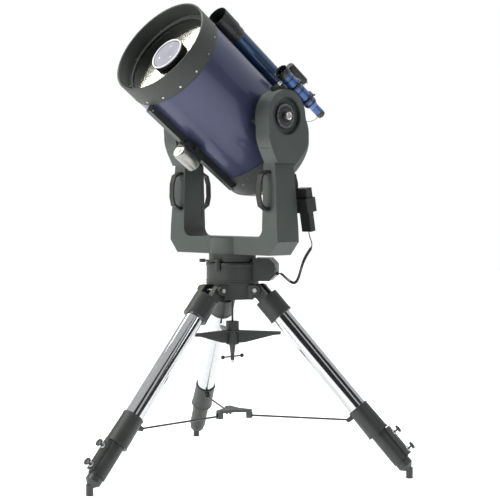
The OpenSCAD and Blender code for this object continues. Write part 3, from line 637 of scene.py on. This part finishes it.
# leg details: collar beads, lock bar caps, knobs with ribs
print("legs")
for number in legAngles:
    place = legPlace(number)
    beads = turned([(0.054, 0.140), (0.0552, 0.1412), (0.0552, 0.1505), (0.054, 0.1522), (0.0412, 0.1522),
                    (0.0412, 0.1515), (0.054, 0.140)], 96)
    beads = turned([(0.0461, 0.6682), (0.0474, 0.6694), (0.0476, 0.6765), (0.0463, 0.6778),
                    (0.0461, 0.6682)], 96, beads)
    beads = turned([(0.0489, 0.8008), (0.0504, 0.8022), (0.0504, 0.8095), (0.0489, 0.8108),
                    (0.0382, 0.8112),
                    (0.0382, 0.8104), (0.0489, 0.8008)], 96, beads)
    addPiece(f"leg {number} beads", beads, f"leg_{number}", "casting", place)
    rest = bmesh.new()
    for height in (0.850, 0.941):
        side = Matrix.Translation((0, 0, height)) @ Matrix.Rotation(math.radians(-90), 4, "Y")
        rest = joined(rest,
                      turned([(0.0045, 0.0535), (0.0125, 0.0535), (0.0125, 0.0565), (0.011, 0.059),
                              (0.0045, 0.059),
                                    (0.0045, 0.0535)], 40), side)
    addPiece(f"leg {number} knob seats", rest, f"leg_{number}", "steel", place)
    for nodeEnd, height in (("upper", 0.850), ("lower", 0.941)):
        side = Matrix.Translation((0, 0, height)) @ Matrix.Rotation(math.radians(-90), 4, "Y")
        head = turned([(0.0, 0.0385), (0.004, 0.0385), (0.004, 0.0725), (0.0085, 0.0735), (0.0128, 0.0745),
                       (0.0158, 0.0762),
                       (0.0162, 0.0785), (0.0155, 0.0812), (0.0125, 0.0832), (0.0, 0.0838)], 48)
        for step in range(12):
            spin = Matrix.Rotation(math.radians(step * 30), 4, "Z")
            head = barrel(head, 0.0024, 0.0752, 0.0815, spin @ Matrix.Translation((0.0145, 0, 0)),
                          segments=14)
        addPiece(f"leg {number} {nodeEnd} knob", head, f"knob_{number}_{nodeEnd}", "black",
                 place @ side,
                 hides=(f"leg_{number}_knob_{nodeEnd}",))

# tension handle
print("tension handle")
handle = bmesh.new()
for y in (-0.058, 0.058):
    made = bmesh.new()
    bmesh.ops.create_uvsphere(made, u_segments=32, v_segments=18, radius=0.0092)
    handle = joined(handle, made, Matrix.Translation((0, y, 0.497)))
addPiece("handle balls", handle, "tension_rod", "black", basePlace, sharp=60)
tip = turned([(0.0, 0.4698), (0.0078, 0.4698), (0.0092, 0.4712), (0.0092, 0.4815), (0.0, 0.4815)], 40)
addPiece("rod tip", tip, "tension_rod", "silver", basePlace)

# balance weight body with its cap, and the clamp shoe
print("weight")
weightPlace = tubePlace @ Matrix.Translation((0, -0.295, 0))
body = turned([(0.0, 0.0682), (0.0295, 0.0682), (0.0332, 0.0715), (0.034, 0.0735), (0.034, 0.1700),
               (0.0332, 0.1725),
               (0.0295, 0.1758), (0.0, 0.1758)], 96)
body = turned([(0.0, 0.1755), (0.010, 0.1755), (0.010, 0.1775), (0.0, 0.1775)], 40, body)
addPiece("weight body", body, "balance_weight", "weight", weightPlace,
         hides=("balance_weight",))
shoe = block(None, (-0.0245, -0.277, 0.066), (0.0245, -0.2604, 0.178))
for side in (-0.0195, 0.0195):
    shoe = block(shoe, (side - 0.005, -0.2610, 0.066), (side + 0.005, -0.243, 0.178))
addPiece("weight shoe", shoe, "balance_weight", "anodised", tubePlace, edge=0.0012)

# floor and lights
print("studio")
floorShape = bmesh.new()
bmesh.ops.create_grid(floorShape, x_segments=1, y_segments=1, size=14)
floorMesh = bpy.data.meshes.new("floor")
floorShape.to_mesh(floorMesh)
floorShape.free()
floorPaint = Finish("studio floor")
floorPaint.set(color=floorPaint.mix(floorPaint.noise(3, 3), (0.9, 0.9, 0.9), (0.93, 0.93, 0.93)),
               rough=0.85)
floorPaint.shader.inputs["Emission Color"].default_value = (1, 1, 1, 1)
floorPaint.shader.inputs["Emission Strength"].default_value = 0.58
floorMesh.materials.append(floorPaint.material)
floor = bpy.data.objects.new("floor", floorMesh)
bpy.context.collection.objects.link(floor)

world = bpy.data.worlds.new("studio air")
world.use_nodes = True
airNodes = world.node_tree.nodes
airLinks = world.node_tree.links
airNodes["Background"].inputs["Strength"].default_value = 0.75
backdrop = airNodes.new("ShaderNodeBackground")
backdrop.inputs["Color"].default_value = (1, 1, 1, 1)
airNodes["Background"].inputs["Color"].default_value = (1, 1, 1, 1)
airMix = airNodes.new("ShaderNodeMixShader")
airLinks.new(airNodes.new("ShaderNodeLightPath").outputs["Is Camera Ray"], airMix.inputs[0])
airLinks.new(airNodes["Background"].outputs[0], airMix.inputs[1])
airLinks.new(backdrop.outputs[0], airMix.inputs[2])
airLinks.new(airMix.outputs[0], airNodes["World Output"].inputs["Surface"])
bpy.context.scene.world = world
bpy.context.scene.view_settings.view_transform = "Standard"

# dark cards round the camera side, kept out of the camera's own sight, give the chrome its dark bands
cardPaint = Finish("dark card")
cardPaint.set(color=cardPaint.mix(cardPaint.noise(2, 2), (0.01, 0.01, 0.01), (0.02, 0.02, 0.02)), rough=0.9)
for cardName, heading, width in (("camera card", -43.8, 6.4), ("left card", -108, 4.6),
                                 ("right card", 21, 5.6)):
    cardShape = bmesh.new()
    bmesh.ops.create_grid(cardShape, x_segments=1, y_segments=1, size=0.5)
    away = Matrix.Rotation(math.radians(heading), 4, "Z") @ Matrix.Translation((6.6, 0, 4.1))
    bmesh.ops.transform(cardShape, verts=cardShape.verts,
                        matrix=away @ Matrix.Rotation(math.radians(90), 4, "Y")
                        @ Matrix.Diagonal((8, width, 1, 1)))
    cardMesh = bpy.data.meshes.new(cardName)
    cardShape.to_mesh(cardMesh)
    cardShape.free()
    cardMesh.materials.append(cardPaint.material)
    card = bpy.data.objects.new(cardName.replace(" ", "_"), cardMesh)
    card.visible_camera = False
    bpy.context.collection.objects.link(card)

for lampName, spot, aim, size, power, tint in (
        ("key", (-1.6, -4.4, 3.6), (0, 0, 1.2), 2.0, 260, (1, 0.99, 0.97)),
        ("right fill", (5.0, 1.4, 2.8), (0, 0, 1.1), 1.4, 22, (0.96, 0.98, 1)),
        ("top", (0.3, 0.3, 5.2), (0, 0, 1), 3.0, 170, (1, 1, 1))):
    lampData = bpy.data.lights.new(lampName, "AREA")
    lampData.size = size
    lampData.energy = power
    lampData.color = tint
    lamp = bpy.data.objects.new(lampName, lampData)
    lamp.location = spot
    lamp.rotation_euler = (Vector(aim) - Vector(spot)).to_track_quat("-Z", "Y").to_euler()
    bpy.context.collection.objects.link(lamp)

# softbox mirrored by one half of the corrector plate
boxData = bpy.data.lights.new("plate softbox", "AREA")
boxData.size = 1.4
boxData.energy = 60
boxData.color = (1, 0.93, 0.84)
plateNormal = Vector((0, -0.8251, 0.5650))
edgeLine = Vector((0.506, 0.4876, 0.712)).normalized()
plateBox = bpy.data.objects.new("plate softbox", boxData)
plateBox.matrix_world = (Matrix.Translation((-2.596, axisY - 1.122, 4.223))
                         @ Matrix((edgeLine, plateNormal.cross(edgeLine),
                                   plateNormal)).transposed().to_4x4())
plateBox.visible_diffuse = False
bpy.context.collection.objects.link(plateBox)
